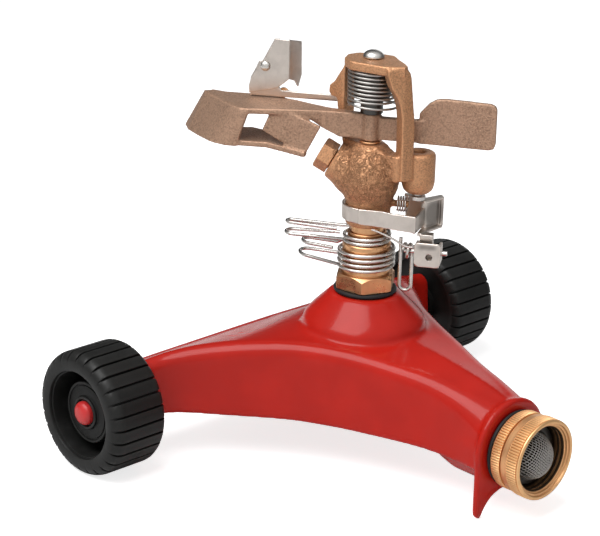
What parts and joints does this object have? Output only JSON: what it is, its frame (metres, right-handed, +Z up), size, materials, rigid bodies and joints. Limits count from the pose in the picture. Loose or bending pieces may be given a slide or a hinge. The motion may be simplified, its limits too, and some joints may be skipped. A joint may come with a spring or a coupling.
{
  "type": "impulse sprinkler on a wheeled base",
  "caption": "Part-circle impact sprinkler head on a hollow cast base with spread arms, with a swivel hose coupling at the front and lugged wheels at the back.",
  "frame": {"origin": "on the ground, under the middle of the whole sprinkler's outline", "axes": "+X along the axle, +Y from the hose coupling towards the wheels, +Z up"},
  "size_m": [0.2266, 0.1802, 0.1724],
  "materials": {
    "red_paint": "high gloss red paint on a casting",
    "wheel_black": "matte black moulding",
    "red_cap": "satin red push cap",
    "black_rubber": "black rubber",
    "brass": "machined brass",
    "cast_bronze": "rough cast bronze",
    "matte_bronze": "matte blasted bronze",
    "steel": "bright zinc-plated and stainless steel"
  },
  "bodies": {
    "base": {"base_casting": "red_paint", "axle_rod": "steel", "axle_cap_left": "red_cap", "axle_cap_right": "red_cap", "inlet_stub": "brass", "inlet_gasket": "black_rubber", "riser_gasket": "black_rubber", "bearing_nut": "brass"},
    "left_wheel": {"wheel_left": "wheel_black"},
    "right_wheel": {"wheel_right": "wheel_black"},
    "coupling": {"coupling_nut": "brass", "hose_washer": "black_rubber", "filter_screen": "steel"},
    "lower_collar": {"collar_lower": "steel"},
    "upper_collar": {"collar_upper": "steel"},
    "head": {"bearing_tube": "brass", "seal_washer": "black_rubber", "sprinkler_body": "cast_bronze", "nozzle": "cast_bronze", "fulcrum_pin": "steel", "arm_washer": "brass", "deflector_bracket": "steel", "deflector_rivet": "steel", "deflector_screw": "brass", "trip_bracket": "steel", "boss_pin": "steel", "trip_pivot_pin": "steel", "trip_spring": "steel", "over_centre_wire": "steel"},
    "arm": {"impact_arm": "matte_bronze", "arm_spring": "steel"},
    "flap": {"deflector_flap": "steel"},
    "trip": {"trip_block": "steel", "trip_finger": "steel"}
  },
  "joints": [
    {"name": "left_wheel_spin", "type": "hinge", "parent": "base", "child": "left_wheel", "pos_m": [-0.1, 0.06365, 0.0265], "axis": [1, 0, 0], "continuous": true},
    {"name": "right_wheel_spin", "type": "hinge", "parent": "base", "child": "right_wheel", "pos_m": [0.1, 0.06365, 0.0265], "axis": [1, 0, 0], "continuous": true},
    {"name": "coupling_swivel", "type": "hinge", "parent": "base", "child": "coupling", "pos_m": [0, -0.0825, 0.0271], "axis": [0, 1, 0], "continuous": true},
    {"name": "lower_collar_turn", "type": "hinge", "parent": "base", "child": "lower_collar", "pos_m": [0, 0.01265, 0.085], "axis": [0, 0, 1], "range_deg": [-15, 15]},
    {"name": "upper_collar_turn", "type": "hinge", "parent": "base", "child": "upper_collar", "pos_m": [0, 0.01265, 0.093], "axis": [0, 0, 1], "range_deg": [-15, 15]},
    {"name": "head_turn", "type": "hinge", "parent": "base", "child": "head", "pos_m": [0, 0.01265, 0.1], "axis": [0, 0, 1], "range_deg": [-115, 110]},
    {"name": "arm_swing", "type": "hinge", "parent": "head", "child": "arm", "pos_m": [0, 0.01265, 0.14], "axis": [0, 0, 1], "range_deg": [0, 95], "stiffness_Nm_per_rad": 0.01, "springref_deg": -28.65},
    {"name": "flap_tilt", "type": "hinge", "parent": "head", "child": "flap", "pos_m": [-0.02061, 0.05453, 0.1605], "axis": [0.8171, 0.5764, 0], "range_deg": [-8, 16]},
    {"name": "trip_flip", "type": "hinge", "parent": "head", "child": "trip", "pos_m": [0.0127, -0.01143, 0.0895], "axis": [0.5764, -0.8171, 0], "range_deg": [-15, 15]}
  ]
}
